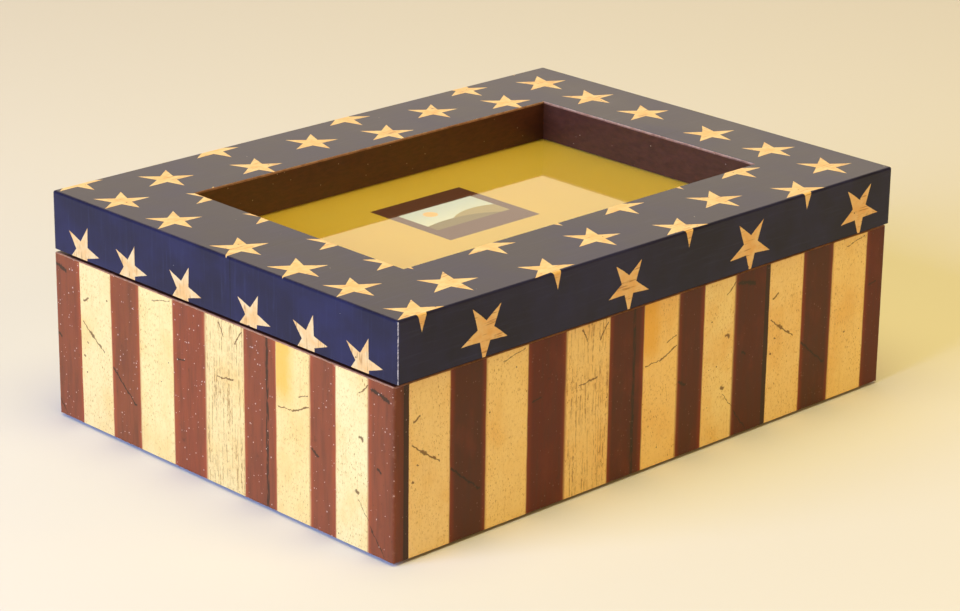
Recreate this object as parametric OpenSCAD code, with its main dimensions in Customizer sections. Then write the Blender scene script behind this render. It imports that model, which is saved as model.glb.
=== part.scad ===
// Hinged keepsake box with a picture frame built into its lid.
// The base is a mitred box with a printed paper wrap. The lid is four mitred rails round
// a recessed picture, held from below by four turn buttons, and it swings on two hinges.
// Origin: centre of the underside. +X runs along the length, -Y is the front, +Z is up.

/* [Picture] */
// Width of the picture
picture_w = 152.4; // [120:0.1:260]
// Depth of the picture
picture_d = 101.6; // [80:0.1:210]
// How much of the picture the lip covers at each end
lip_over_x = 3.4; // [2:0.1:6]
// How much of the picture the lip covers at front and back
lip_over_y = 5.2; // [2:0.1:8]
// Room between the picture and the rebate wall, on each side
picture_play_x = 1.1; // [0.5:0.1:2]
// Room between the picture and the rebate wall, front and back
picture_play_y = 0.3; // [0.2:0.1:2]
// Room between the glass and the rebate wall
glass_play = 0.2; // [0.1:0.05:0.3]
// Thickness of the glass
glass_t = 2; // [1.5:0.1:3]
// Thickness of the picture card
card_t = 0.3; // [0.2:0.05:1]
// Thickness of the backing board
board_t = 3; // [2:0.1:4]
// Depth from the backing board to the underside of the lid
board_setback = 0.05; // [0.05:0.05:0.5]

/* [Lid] */
// Thickness of the lid
lid_t = 18; // [14:0.5:26]
// Width of the frame to the left and right of the window
rail_side_w = 29.2; // [26:0.1:50]
// Width of the frame in front of the window and behind it
rail_front_w = 29.7; // [26:0.1:50]
// How far the lid stands past the base at the front
lid_front_overhang = 1.2; // [0:0.1:3]
// How far the lid stands past the base at the back
lid_back_overhang = 0.2; // [0:0.1:1]
// How far each end of the lid stays in from the end of the base
lid_side_inset = 0.2; // [0:0.1:1]

/* [Base] */
// Height of the base, felt included
base_h = 52; // [35:1:90]
// Thickness of the four base walls
wall_t = 9; // [7:0.5:12]
// Thickness of the floor panel
floor_t = 3; // [2:0.5:6]
// Thickness of the felt on the floor, inside
lining_t = 0.8; // [0.5:0.1:2]
// Thickness of the felt under the base
felt_t = 1; // [0.5:0.1:2]
// How far the underside felt stays in from the base edge
felt_inset = 3; // [1:0.5:8]
// Thickness of the printed paper on base and lid
paper_t = 0.3; // [0.1:0.05:0.5]

/* [Hinges] */
// Distance from the end of the base to the middle of each hinge
hinge_inset = 40.2; // [25:0.1:60]
// Thickness of a hinge leaf
leaf_t = 0.45; // [0.3:0.05:0.8]
// Gap between the two closed leaves
leaf_play = 0.1; // [0.05:0.05:0.3]
// Length of the barrel
barrel_len = 20; // [14:1:30]
// Outside radius of the barrel
barrel_r = 1.3; // [1.1:0.05:1.8]
// Radius of the hinge pin
pin_r = 0.75; // [0.5:0.05:0.9]
// Running clearance of the pin in the moving knuckle
pin_play = 0.05; // [0.02:0.01:0.1]
// Gap between neighbouring knuckles
knuckle_gap = 0.2; // [0.1:0.05:0.4]
// Gap between the barrel and the back of the lid
barrel_gap = 0.2; // [0.2:0.05:0.5]
// Width of each stop ear, along the pin
ear_w = 1.2; // [0.8:0.1:2]
// Angle at which the ears stop the lid
open_angle = 100; // [80:1:115]

/* [Turn buttons] */
// Distance from the end of the rebate to each turn button
button_inset = 35.3; // [15:0.1:50]
// Distance from the rebate to the button's screw
button_setback = 4.8; // [4:0.1:8]
// Length of the arm that holds the backing board, from the screw to the tip
button_arm = 8.4; // [7:0.1:11]
// Thickness of the turn button
button_t = 0.8; // [0.6:0.1:0.9]
// Radius of the round end at the screw
button_r = 3.2; // [2.5:0.1:4]
// Radius of the arm's tip
button_tip_r = 2; // [1.5:0.1:2.5]
// Gap between the button and the lid
button_play = 0.05; // [0.05:0.01:0.1]
// Radius of the button screw's shank
button_screw_r = 1; // [0.8:0.1:1.2]
// Running clearance of the button on its screw
button_bore_play = 0.06; // [0.03:0.01:0.1]
// Radius of the button screw's head
button_head_r = 2; // [1.6:0.1:2.4]
// Height of the button screw's head
button_head_t = 0.9; // [0.6:0.1:1.4]
// Length of the button screw in the wood
button_screw_len = 9; // [5:0.5:12]

/* [Small parts] */
// Radius of a hinge screw's shank
screw_r = 0.7; // [0.5:0.05:0.9]
// Radius of a hinge screw's head
screw_head_r = 1.4; // [1.1:0.05:1.7]
// Length of a hinge screw
screw_len = 9; // [6:0.5:12]
// Clearance of a screw in its hole
screw_play = 0.04; // [0.02:0.01:0.1]
// Radius of the two bumpers on the front wall of the base
bumper_r = 3; // [2:0.1:4]
// Distance from the end of the base to the middle of each bumper
bumper_inset = 24; // [18:1:60]

/* [Hidden] */

// A round surface gets this many sides in the preview
$fn = 48;
// Length by which a cutter runs past the face that it cuts
eps = 0.5;

// Window in the lid, and the rebate behind it
window_w = picture_w - 2 * lip_over_x;
window_d = picture_d - 2 * lip_over_y;
rebate_w = picture_w + 2 * picture_play_x;
rebate_d = picture_d + 2 * picture_play_y;

// The frame round the window gives the lid its outline, over the paper, and the base follows
lid_w = window_w + 2 * rail_side_w;
lid_d = window_d + 2 * rail_front_w;
base_w = lid_w + 2 * lid_side_inset;
base_d = lid_d - lid_front_overhang - lid_back_overhang;
lid_front = -base_d / 2 - lid_front_overhang;
lid_back = base_d / 2 + lid_back_overhang;
lid_y = (lid_front + lid_back) / 2;

// Wooden core of the base, under the paper
core_w = base_w - 2 * paper_t;
core_d = base_d - 2 * paper_t;
inner_w = core_w - 2 * wall_t;
inner_d = core_d - 2 * wall_t;

// The closed leaves fill the gap between base and lid
lid_gap = 2 * leaf_t + leaf_play;
lid_z = base_h + lid_gap;

// Board, card and glass stand on each other, up to the lip
board_z = lid_z + board_setback;
card_z = board_z + board_t;
glass_z = card_z + card_t;
glass_top = glass_z + glass_t;

// Hinge axis, behind the back of the lid and level with the middle of the gap
hinge_x = base_w / 2 - hinge_inset;
axis_y = lid_back + barrel_gap + barrel_r;
axis_z = base_h + lid_gap / 2;
// The leaf stays on the wall behind it, this far from the wall's inner face
leaf_margin = 1;
leaf_front = base_d / 2 - paper_t - wall_t + leaf_margin;
leaf_w = barrel_len + 2 * (knuckle_gap + ear_w);
knuckle_w = (barrel_len - 2 * knuckle_gap) / 3;
pin_dome = 0.3;
ear_r = barrel_r + barrel_gap / 2;
ear_eye_r = 0.25;
// Each ear covers the angles from its stop face round to its own leaf
ear_angle = open_angle / 2;

// Hinge screws, two in each leaf, in the middle of the wall
screw_x = barrel_len / 4;
screw_y = base_d / 2 - paper_t - wall_t / 2;
screw_cone = screw_head_r - screw_r;
screw_tip_r = 0.1;

// Turn buttons and their screws
button_x = rebate_w / 2 - button_inset;
button_y = rebate_d / 2 + button_setback;
button_z = lid_z - button_play - button_t;
button_places = [[-1, -1], [1, -1], [-1, 1], [1, 1]];
shoulder_angle = 18;
// The flat of the screw's head, as a share of its full radius
button_head_flat = 0.6;

// Bumpers stand on the rim of the front wall
bumper_x = base_w / 2 - bumper_inset;
bumper_y = -base_d / 2 + paper_t + wall_t / 2;

// Colours
maroon = [0.22, 0.09, 0.08];
board_brown = [0.55, 0.42, 0.28];
brass_yellow = [0.78, 0.62, 0.30];
felt_black = [0.10, 0.09, 0.09];

// ---- shared shapes ----

// A block that is centred on x and y and stands on z
module block(w, d, h, y, z) {
    translate([-w / 2, y - d / 2, z]) cube([w, d, h]);
}

// Plan of one mitred side: "front" lies along -Y, "left" lies along -X
module mitred_front(outer_w, outer_d, in_w, in_d, h) {
    linear_extrude(height = h) polygon([
        [-outer_w / 2, -outer_d / 2], [outer_w / 2, -outer_d / 2],
        [in_w / 2, -in_d / 2], [-in_w / 2, -in_d / 2]
    ]);
}

module mitred_left(outer_w, outer_d, in_w, in_d, h) {
    linear_extrude(height = h) polygon([
        [-outer_w / 2, outer_d / 2], [-outer_w / 2, -outer_d / 2],
        [-in_w / 2, -in_d / 2], [-in_w / 2, in_d / 2]
    ]);
}

// A countersunk screw, point down, with the top of its head at z = 0
module screw_shape(play) {
    translate([0, 0, -screw_cone])
        cylinder(h = screw_cone, r1 = screw_r + play, r2 = screw_head_r + play);
    translate([0, 0, -screw_len]) cylinder(h = screw_len - screw_cone, r = screw_r + play);
    translate([0, 0, -screw_len - screw_r])
        cylinder(h = screw_r, r1 = screw_tip_r + play, r2 = screw_r + play);
}

// The four screws that stand in the top of the back wall
module base_screw_set(play) {
    for (side = [-1, 1], along = [-1, 1])
        translate([side * hinge_x + along * screw_x, screw_y, base_h + leaf_t])
            screw_shape(play);
}

// The four screws that stand in the underside of the back rail
module lid_screw_set(play) {
    for (side = [-1, 1], along = [-1, 1])
        translate([side * hinge_x + along * screw_x, screw_y, lid_z - leaf_t])
            mirror([0, 0, 1]) screw_shape(play);
}

// The shanks of the turn button screws
module button_shanks(play, low, len) {
    for (place = button_places)
        translate([place[0] * button_x, lid_y + place[1] * button_y, low])
            cylinder(h = len, r = button_screw_r + play);
}

// ---- base ----

module base_side_front() {
    translate([0, 0, felt_t]) mitred_front(core_w, core_d, inner_w, inner_d, base_h - felt_t);
}

module base_side_left() {
    translate([0, 0, felt_t]) mitred_left(core_w, core_d, inner_w, inner_d, base_h - felt_t);
}

module base_front_wall() {
    color(maroon) base_side_front();
}

module base_back_wall() {
    color(maroon) difference() {
        mirror([0, 1, 0]) base_side_front();
        base_screw_set(screw_play);
    }
}

module base_left_wall() {
    color(maroon) base_side_left();
}

module base_right_wall() {
    color(maroon) mirror([1, 0, 0]) base_side_left();
}

module base_floor() {
    color(board_brown) block(inner_w, inner_d, floor_t, 0, felt_t);
}

module base_stripe_paper() {
    color([0.86, 0.72, 0.48]) difference() {
        block(base_w, base_d, base_h - felt_t, 0, felt_t);
        block(core_w, core_d, base_h + 2 * eps, 0, felt_t - eps);
    }
}

module floor_lining() {
    color(felt_black) block(inner_w, inner_d, lining_t, 0, felt_t + floor_t);
}

module underside_felt() {
    color(felt_black) block(base_w - 2 * felt_inset, base_d - 2 * felt_inset, felt_t, 0, 0);
}

module lid_bumpers() {
    color("dimgray") for (side = [-1, 1])
        translate([side * bumper_x, bumper_y, base_h]) cylinder(h = lid_gap, r = bumper_r);
}

// ---- hinges ----

// A knuckle of the barrel, w long, centred on x
module knuckle(w) {
    translate([-w / 2, axis_y, axis_z]) rotate([0, 90, 0]) cylinder(h = w, r = barrel_r);
}

// The cutter for the pin's hole; it ends halfway into the gap at each end of the barrel
module pin_bore(side, r) {
    bore_len = barrel_len + knuckle_gap;
    translate([side * hinge_x - bore_len / 2, axis_y, axis_z]) rotate([0, 90, 0])
        cylinder(h = bore_len, r = r);
}

// Half-moon ears at both ends of the barrel; each fills the sector above the gap
module upper_ears() {
    for (side = [-1, 1])
        translate([side * (barrel_len / 2 + knuckle_gap + ear_w / 2) - ear_w / 2, axis_y, axis_z])
            difference() {
                rotate([0, 90, 0]) cylinder(h = ear_w, r = ear_r);
                rotate([0, 90, 0]) translate([0, 0, -eps])
                    cylinder(h = ear_w + 2 * eps, r = ear_eye_r);
                translate([-eps, -2 * ear_r, -2 * ear_r - eps])
                    cube([ear_w + 2 * eps, 4 * ear_r, 2 * ear_r + eps + leaf_play / 2]);
                rotate([ear_angle, 0, 0]) translate([-eps, 0, -2 * ear_r])
                    cube([ear_w + 2 * eps, 2 * ear_r, 2 * ear_r]);
            }
}

// The leaf on the lid, with the middle knuckle
module lid_leaf(side) {
    color(brass_yellow) difference() {
        translate([side * hinge_x, 0, 0]) union() {
            translate([-leaf_w / 2, leaf_front, lid_z - leaf_t])
                cube([leaf_w, lid_back - leaf_front, leaf_t]);
            for (end = [-1, 1])
                translate([end * (leaf_w - ear_w) / 2 - ear_w / 2, leaf_front, lid_z - leaf_t])
                    cube([ear_w, axis_y - ear_r / 2 - leaf_front, leaf_t]);
            translate([-knuckle_w / 2, leaf_front, lid_z - leaf_t])
                cube([knuckle_w, axis_y - leaf_front, leaf_t]);
            knuckle(knuckle_w);
            upper_ears();
        }
        pin_bore(side, pin_r + pin_play);
        lid_screw_set(screw_play);
    }
}

// The leaf on the base, with the two outer knuckles, held tight on the pin
module base_leaf(side) {
    outer_w = (barrel_len - knuckle_w) / 2 - knuckle_gap;
    outer_x = (barrel_len - outer_w) / 2;
    color(brass_yellow) difference() {
        translate([side * hinge_x, 0, 0]) union() {
            translate([-leaf_w / 2, leaf_front, base_h])
                cube([leaf_w, base_d / 2 - leaf_front, leaf_t]);
            for (end = [-1, 1]) {
                translate([end * (leaf_w - ear_w) / 2 - ear_w / 2, leaf_front, base_h])
                    cube([ear_w, axis_y - ear_r / 2 - leaf_front, leaf_t]);
                translate([end * outer_x - outer_w / 2, leaf_front, base_h])
                    cube([outer_w, axis_y - leaf_front, leaf_t]);
                translate([end * outer_x, 0, 0]) knuckle(outer_w);
            }
            translate([0, 0, 2 * axis_z]) mirror([0, 0, 1]) upper_ears();
        }
        pin_bore(side, pin_r);
        base_screw_set(screw_play);
    }
}

module hinge_pin(side) {
    color(brass_yellow) translate([side * hinge_x - barrel_len / 2, axis_y, axis_z])
        rotate([0, 90, 0]) union() {
            cylinder(h = barrel_len, r = pin_r);
            translate([0, 0, -pin_dome / 2])
                cylinder(h = pin_dome / 2, r1 = pin_r - pin_dome / 2, r2 = pin_r);
            translate([0, 0, barrel_len])
                cylinder(h = pin_dome / 2, r1 = pin_r, r2 = pin_r - pin_dome / 2);
        }
}

module hinge_left_base_leaf() { base_leaf(-1); }
module hinge_right_base_leaf() { base_leaf(1); }
module hinge_left_lid_leaf() { lid_leaf(-1); }
module hinge_right_lid_leaf() { lid_leaf(1); }
module hinge_left_pin() { hinge_pin(-1); }
module hinge_right_pin() { hinge_pin(1); }
module hinge_base_screws() { color(brass_yellow) base_screw_set(0); }
module hinge_lid_screws() { color(brass_yellow) lid_screw_set(0); }

// ---- lid ----

// Everything that is cut out of the rails: the rebate for glass, card and board,
// and the pilot holes
module rail_cuts() {
    block(rebate_w, rebate_d, glass_top - lid_z + eps, lid_y, lid_z - eps);
    lid_screw_set(screw_play);
    button_shanks(screw_play, lid_z - eps, button_screw_len + 2 * eps);
}

module rail_front() {
    translate([0, lid_y, lid_z]) mitred_front(
        lid_w - 2 * paper_t, lid_d - 2 * paper_t, window_w, window_d, lid_t - paper_t);
}

module rail_left() {
    translate([0, lid_y, lid_z]) mitred_left(
        lid_w - 2 * paper_t, lid_d - 2 * paper_t, window_w, window_d, lid_t - paper_t);
}

module lid_front_rail() {
    color(maroon) difference() {
        rail_front();
        rail_cuts();
    }
}

module lid_back_rail() {
    color(maroon) difference() {
        translate([0, 2 * lid_y, 0]) mirror([0, 1, 0]) rail_front();
        rail_cuts();
    }
}

module lid_left_rail() {
    color(maroon) difference() {
        rail_left();
        rail_cuts();
    }
}

module lid_right_rail() {
    color(maroon) difference() {
        mirror([1, 0, 0]) rail_left();
        rail_cuts();
    }
}

// One sheet: the top of the lid and its four edges
module lid_star_paper() {
    color([0.16, 0.17, 0.27]) difference() {
        block(lid_w, lid_d, lid_t, lid_y, lid_z);
        block(lid_w - 2 * paper_t, lid_d - 2 * paper_t, lid_t - paper_t + eps, lid_y, lid_z - eps);
        block(window_w, window_d, lid_t + 2 * eps, lid_y, lid_z - eps);
    }
}

module glass_pane() {
    color([0.85, 0.90, 0.92, 0.4])
        block(rebate_w - 2 * glass_play, rebate_d - 2 * glass_play, glass_t, lid_y, glass_z);
}

module picture_card() {
    color([0.82, 0.67, 0.24]) block(picture_w, picture_d, card_t, lid_y, card_z);
}

module backing_board() {
    color(board_brown)
        block(rebate_w - 2 * glass_play, rebate_d - 2 * glass_play, board_t, lid_y, board_z);
}

// ---- turn buttons ----

module turn_button_screws() {
    color(brass_yellow) {
        button_shanks(0, button_z, lid_z - button_z + button_screw_len);
        for (place = button_places)
            translate([place[0] * button_x, lid_y + place[1] * button_y, button_z - button_head_t])
                cylinder(
                    h = button_head_t, r1 = button_head_r * button_head_flat, r2 = button_head_r);
    }
}

// A stamped arm, pointing at the picture, that turns on its screw
module turn_button(place) {
    reach = button_arm - button_tip_r;
    // Where the tapered arm leaves the round end
    shoulder_x = button_r * cos(shoulder_angle);
    shoulder_y = button_r * sin(shoulder_angle);
    color(brass_yellow)
        translate([place[0] * button_x, lid_y + place[1] * button_y, button_z])
            difference() {
                union() {
                    cylinder(h = button_t, r = button_r);
                    translate([0, -place[1] * reach, 0]) cylinder(h = button_t, r = button_tip_r);
                    linear_extrude(height = button_t) polygon([
                        [-shoulder_x, -place[1] * shoulder_y],
                        [shoulder_x, -place[1] * shoulder_y],
                        [button_tip_r, -place[1] * reach],
                        [-button_tip_r, -place[1] * reach]
                    ]);
                }
                translate([0, 0, -eps])
                    cylinder(h = button_t + 2 * eps, r = button_screw_r + button_bore_play);
            }
}

module turn_button_front_left() { turn_button([-1, -1]); }
module turn_button_front_right() { turn_button([1, -1]); }
module turn_button_back_left() { turn_button([-1, 1]); }
module turn_button_back_right() { turn_button([1, 1]); }

base_front_wall();
base_back_wall();
base_left_wall();
base_right_wall();
base_floor();
base_stripe_paper();
floor_lining();
underside_felt();
lid_bumpers();
hinge_left_base_leaf();
hinge_right_base_leaf();
hinge_left_pin();
hinge_right_pin();
hinge_base_screws();
lid_front_rail();
lid_back_rail();
lid_left_rail();
lid_right_rail();
lid_star_paper();
glass_pane();
picture_card();
backing_board();
hinge_left_lid_leaf();
hinge_right_lid_leaf();
hinge_lid_screws();
turn_button_screws();
turn_button_front_left();
turn_button_front_right();
turn_button_back_left();
turn_button_back_right();
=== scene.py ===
import math

import bmesh
import bpy
from mathutils import Matrix, Vector


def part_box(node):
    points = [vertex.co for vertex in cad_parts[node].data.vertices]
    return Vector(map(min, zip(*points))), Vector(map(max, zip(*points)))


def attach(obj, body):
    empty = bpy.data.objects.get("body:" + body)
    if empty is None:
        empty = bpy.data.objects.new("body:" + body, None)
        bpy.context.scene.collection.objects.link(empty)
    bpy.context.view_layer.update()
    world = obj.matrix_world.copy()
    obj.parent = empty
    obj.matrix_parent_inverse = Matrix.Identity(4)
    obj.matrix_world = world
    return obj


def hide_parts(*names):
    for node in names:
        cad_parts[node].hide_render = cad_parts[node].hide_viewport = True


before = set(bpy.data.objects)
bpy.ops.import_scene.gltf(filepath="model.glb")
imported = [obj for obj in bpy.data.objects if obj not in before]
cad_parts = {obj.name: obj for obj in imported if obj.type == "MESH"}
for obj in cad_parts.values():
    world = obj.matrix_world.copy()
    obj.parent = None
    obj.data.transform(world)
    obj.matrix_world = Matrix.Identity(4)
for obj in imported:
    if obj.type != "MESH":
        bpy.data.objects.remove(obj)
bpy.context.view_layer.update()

# ---------------------------------------------------------------- table top and light
# A plain pale table, a cool window-like softbox on the left, a warm lamp on the right of
# the front, a ceiling light, and a pale screen behind that varnish and glass mirror.

lid_low, lid_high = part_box("lid_star_paper")
lid_middle = (lid_low + lid_high) / 2
table_grey = (0.71, 0.675, 0.74, 1)
table_reach = 12.0
room_glow, room_strength = (1.0, 0.55, 0.33, 1), 0.11


def new_material(name, roughness=0.5):
    """A node material with one Principled shader; gives the material, its tree and shader."""
    material = bpy.data.materials.new(name)
    material.use_nodes = True
    tree = material.node_tree
    shader = tree.nodes["Principled BSDF"]
    shader.inputs["Roughness"].default_value = roughness
    return material, tree, shader


table_material, table_tree, table_shader = new_material("plain_table", 0.85)
table_shader.inputs["Base Color"].default_value = table_grey
table_shader.inputs["Specular IOR Level"].default_value = 0.2
table_mesh = bmesh.new()
bmesh.ops.create_grid(table_mesh, x_segments=1, y_segments=1, size=table_reach)
table_data = bpy.data.meshes.new("table_top")
table_mesh.to_mesh(table_data)
table_mesh.free()
table_data.materials.append(table_material)
table_top = bpy.data.objects.new("table_top", table_data)
bpy.context.scene.collection.objects.link(table_top)


def softbox(name, place, width, height, power, colour):
    """An area light that faces the middle of the box and isn't seen itself."""
    light = bpy.data.lights.new(name, "AREA")
    light.shape = "RECTANGLE"
    light.size = width
    light.size_y = height
    light.energy = power
    light.color = colour
    lamp = bpy.data.objects.new(name, light)
    lamp.location = place
    lamp.rotation_euler = (lid_middle - Vector(place)).to_track_quat("-Z", "Y").to_euler()
    lamp.visible_camera = False
    bpy.context.scene.collection.objects.link(lamp)


softbox("window_light", (-1.30, 0.14, 0.55), 0.9, 0.9, 31.0, (0.46, 0.62, 1.0))
softbox("warm_lamp", (0.65, -1.35, 0.70), 0.7, 0.7, 8.2, (1.0, 0.64, 0.17))
softbox("pale_screen", (1.15, 1.25, 0.62), 2.6, 1.1, 13.0, (1.0, 0.85, 0.67))
softbox("ceiling_light", (-0.15, -0.20, 1.50), 1.2, 1.2, 22.0, (1.0, 0.88, 0.26))

world = bpy.data.worlds.new("pale_room")
world.use_nodes = True
world.node_tree.nodes["Background"].inputs["Color"].default_value = room_glow
world.node_tree.nodes["Background"].inputs["Strength"].default_value = room_strength
bpy.context.scene.world = world
bpy.context.scene.view_settings.view_transform = "Standard"

# ---------------------------------------------------------------- camera
# A long lens nearly a metre away, looking down on the front left corner of the box.

turn, rise_angle, roll = math.radians(-44.15), math.radians(19.91), math.radians(0.753)
camera_distance = 0.9367
slide_right, slide_up = 0.00065, -0.0381
lens_mm, sensor_mm = 117.33, 36.0

back = Vector((
    math.sin(turn) * math.cos(rise_angle),
    -math.cos(turn) * math.cos(rise_angle),
    math.sin(rise_angle),
))
level = Vector((math.cos(turn), math.sin(turn), 0))
upright = back.cross(level)
lid_top_middle = Vector((lid_middle.x, lid_middle.y, lid_high.z))
eye = lid_top_middle + back * camera_distance + level * slide_right + upright * slide_up
across = level * math.cos(roll) + upright * math.sin(roll)
above = upright * math.cos(roll) - level * math.sin(roll)

camera = bpy.data.objects.new("camera", bpy.data.cameras.new("camera"))
camera.data.sensor_width = sensor_mm
camera.data.lens = lens_mm
camera.matrix_world = Matrix.Translation(eye) @ Matrix((across, above, back)).transposed().to_4x4()
bpy.context.scene.collection.objects.link(camera)
bpy.context.scene.camera = camera

# ---------------------------------------------------------------- walls and floor of the base
# Four mitred walls of fibreboard, glued round a floor panel and painted dark maroon.
# Sanding before the paper went on eased the rim, and handling has worn it paler.

rim_round = 0.00025
inner_rim_round = 0.0006
maroon = (0.088, 0.023, 0.012, 1)
maroon_dark = (0.046, 0.012, 0.006, 1)
primer_pink = (0.42, 0.20, 0.13, 1)
dust_white = (0.50, 0.36, 0.28, 1)
pore_dark = (0.016, 0.005, 0.003, 1)


def add_node(tree, kind, inputs=None, **settings):
    """Add a shader node, choose its options, and link or set its inputs."""
    made = tree.nodes.new("ShaderNode" + kind)
    for name, value in settings.items():
        setattr(made, name, value)
    for where, value in (inputs or {}).items():
        socket = made.inputs[where]
        if isinstance(value, bpy.types.NodeSocket):
            tree.links.new(value, socket)
        else:
            socket.default_value = value
    return made


def calc(tree, operation, *values):
    """One Math node on numbers or sockets."""
    return add_node(tree, "Math", dict(enumerate(values)), operation=operation).outputs[0]


def mixed(tree, share, under, over, mode="MIX"):
    """Lay one colour over another by a share."""
    made = add_node(tree, "Mix", {0: share, 6: under, 7: over}, data_type="RGBA", blend_type=mode)
    return made.outputs[2]


def glazed(tree, under, ink, pattern, share):
    """Lay an ink over a colour where a pattern shows, by at most a share."""
    return mixed(tree, calc(tree, "MULTIPLY", pattern, share), under, ink)


def rise(tree, value, low, high):
    """0 below low, 1 above high, smooth between; high may be the smaller one."""
    inputs = {"Value": value, "From Min": low, "From Max": high}
    return add_node(tree, "MapRange", inputs, interpolation_type="SMOOTHSTEP").outputs[0]


def object_mm(tree):
    """Object coordinates in millimetres."""
    place = add_node(tree, "TexCoord").outputs["Object"]
    return add_node(tree, "VectorMath", {0: place, "Scale": 1000.0}, operation="SCALE").outputs[0]


def grain(tree, place, scale, detail=3.0, rough=0.55):
    """Noise on a place in millimetres; scale is cycles per millimetre along x, y and z."""
    spread = add_node(tree, "VectorMath", {0: place, 1: scale}, operation="MULTIPLY").outputs[0]
    inputs = {"Vector": spread, "Scale": 1.0, "Detail": detail, "Roughness": rough}
    return add_node(tree, "TexNoise", inputs).outputs[0]


def specks(tree, place, spacing, radius, share):
    """Scattered round dots: spacing and largest radius in mm, and the share of cells with one."""
    cells = add_node(tree, "TexVoronoi", {"Vector": place, "Scale": 1 / spacing})
    dice = add_node(tree, "SeparateColor", {0: cells.outputs["Color"]})
    size = calc(tree, "MULTIPLY", dice.outputs[1], radius / spacing)
    dot = calc(tree, "LESS_THAN", cells.outputs["Distance"], size)
    return calc(tree, "MULTIPLY", dot, calc(tree, "LESS_THAN", dice.outputs[0], share))


def bumped(tree, shader, height, depth_mm, strength=1.0):
    """Lead a height, from 0 to 1, to the shader's normal as relief depth_mm deep."""
    inputs = {"Height": height, "Distance": depth_mm / 1000, "Strength": strength}
    made = add_node(tree, "Bump", inputs)
    tree.links.new(made.outputs[0], shader.inputs["Normal"])


maroon_paint, tree, shader = new_material("maroon_paint")
place = object_mm(tree)
brush = grain(tree, place, (0.35, 0.35, 1.1), 5.0, 0.6)
colour = mixed(tree, rise(tree, brush, 0.2, 0.85), maroon_dark, maroon)
pores = rise(tree, grain(tree, place, (2.4, 2.4, 2.4), 2.0), 0.66, 0.74)
colour = glazed(tree, colour, pore_dark, pores, 0.5)
worn = add_node(tree, "Attribute", attribute_name="worn").outputs["Fac"]
rub = {"From Min": 0.3, "From Max": 0.6, "To Min": 0.35, "To Max": 0.9}
patchy = add_node(tree, "MapRange", {"Value": grain(tree, place, (0.25, 0.25, 0.25), 3.0)} | rub)
colour = glazed(tree, colour, primer_pink, worn, patchy.outputs[0])
dust = specks(tree, place, 2.4, 0.22, 0.45)
colour = glazed(tree, colour, dust_white, dust, 0.7)
tree.links.new(colour, shader.inputs["Base Color"])
gloss = add_node(tree, "MapRange", {"Value": brush, "To Min": 0.30, "To Max": 0.52})
tree.links.new(gloss.outputs[0], shader.inputs["Roughness"])
bumped(tree, shader, calc(tree, "ADD", brush, dust), 0.08, 0.5)


def keep(mesh_source, name, material, body, slot, *nodes):
    """Turn a bmesh into a finished piece that rides on a body and stands for CAD nodes."""
    mesh = bpy.data.meshes.new(name)
    mesh_source.to_mesh(mesh)
    mesh_source.free()
    piece = bpy.data.objects.new(name, mesh)
    bpy.context.scene.collection.objects.link(piece)
    mesh.materials.append(material)
    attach(piece, body)
    if nodes:
        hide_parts(*nodes)
    return piece


# Each side of a frame as two unit vectors in plan: along the side, and inward from its edge
SIDES = {
    "front": ((1, 0), (0, 1)),
    "back": ((-1, 0), (0, -1)),
    "left": ((0, -1), (1, 0)),
    "right": ((0, 1), (-1, 0)),
}


def mitred_bar(profile, rounds, side, outer_low, outer_high, inner_low, inner_high):
    """One side of a mitred frame: a profile of (inward, up) corners run along the side, its
    long edges eased by rounds {corner number: radius}, and both ends cut on the mitre."""
    along = Vector(SIDES[side][0] + (0,))
    inward = Vector(SIDES[side][1] + (0,))
    middle = (outer_low + outer_high) / 2
    middle.z = 0
    reach = max(outer_high.x - outer_low.x, outer_high.y - outer_low.y)
    half_depth = abs((outer_high - outer_low).dot(inward)) / 2
    bar = bmesh.new()
    corners = []
    for inset, up in profile:
        spot = middle + inward * (inset - half_depth) - along * reach
        corners.append(bar.verts.new((spot.x, spot.y, up)))
    face = bar.faces.new(corners)
    swept = bmesh.ops.extrude_face_region(bar, geom=[face])
    moved = [part for part in swept["geom"] if isinstance(part, bmesh.types.BMVert)]
    bmesh.ops.translate(bar, verts=moved, vec=along * 2 * reach)
    bar.normal_update()
    long_edges = [edge for edge in bar.edges
                  if abs((edge.verts[0].co - edge.verts[1].co).dot(along)) > reach]
    worn_layer = bar.faces.layers.float.new("worn")
    for number, radius in rounds.items():
        spot = corners[number].co
        chosen = [edge for edge in long_edges if edge.is_valid
                  and min((end.co - spot).length for end in edge.verts) < 1e-7]
        rounded = bmesh.ops.bevel(bar, geom=chosen, offset=radius, offset_type="OFFSET",
                                  segments=4, profile=0.5, affect="EDGES", material=-1)
        for made in rounded["faces"]:
            made[worn_layer] = 1.0
    for end in (-1, 1):
        outer = (outer_high - outer_low) / 2
        inner = (inner_high - inner_low) / 2
        outer_end = middle + along * end * abs(outer.dot(along)) - inward * abs(outer.dot(inward))
        inner_end = middle + along * end * abs(inner.dot(along)) - inward * abs(inner.dot(inward))
        cut = (inner_end - outer_end).cross(Vector((0, 0, 1)))
        cut.normalize()
        if cut.dot(along) * end < 0:
            cut.negate()
        sliced = bmesh.ops.bisect_plane(bar, geom=bar.verts[:] + bar.edges[:] + bar.faces[:],
                                        plane_co=outer_end, plane_no=cut, clear_outer=True)
        rim = [part for part in sliced["geom_cut"] if isinstance(part, bmesh.types.BMEdge)]
        bmesh.ops.contextual_create(bar, geom=rim)
    bmesh.ops.recalc_face_normals(bar, faces=bar.faces[:])
    return bar


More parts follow.
